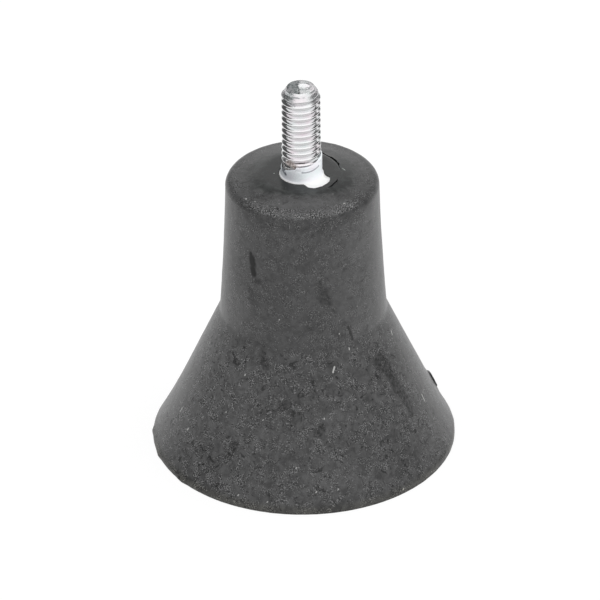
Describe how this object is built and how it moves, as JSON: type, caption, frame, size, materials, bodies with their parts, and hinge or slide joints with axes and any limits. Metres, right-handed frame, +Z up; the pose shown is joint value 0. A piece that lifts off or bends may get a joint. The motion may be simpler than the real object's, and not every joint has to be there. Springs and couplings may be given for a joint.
{
  "type": "rubber foot",
  "caption": "Moulded rubber foot that flares from a round neck to a wide skirt, with a threaded steel stud standing out of its top.",
  "frame": {"origin": "centre of the floor face under the skirt", "axes": "+Z up along the axis of the foot and its stud; the bare patch of flange faces +X and -Y"},
  "size_m": [0.0732, 0.0732, 0.0963],
  "materials": {
    "black_rubber": "matt moulded black rubber, dusty, with a light bloom",
    "plated_steel": "bright zinc plate"
  },
  "bodies": {
    "root": {"rubber_body": "black_rubber", "threaded_stud": "plated_steel"}
  },
  "joints": []
}
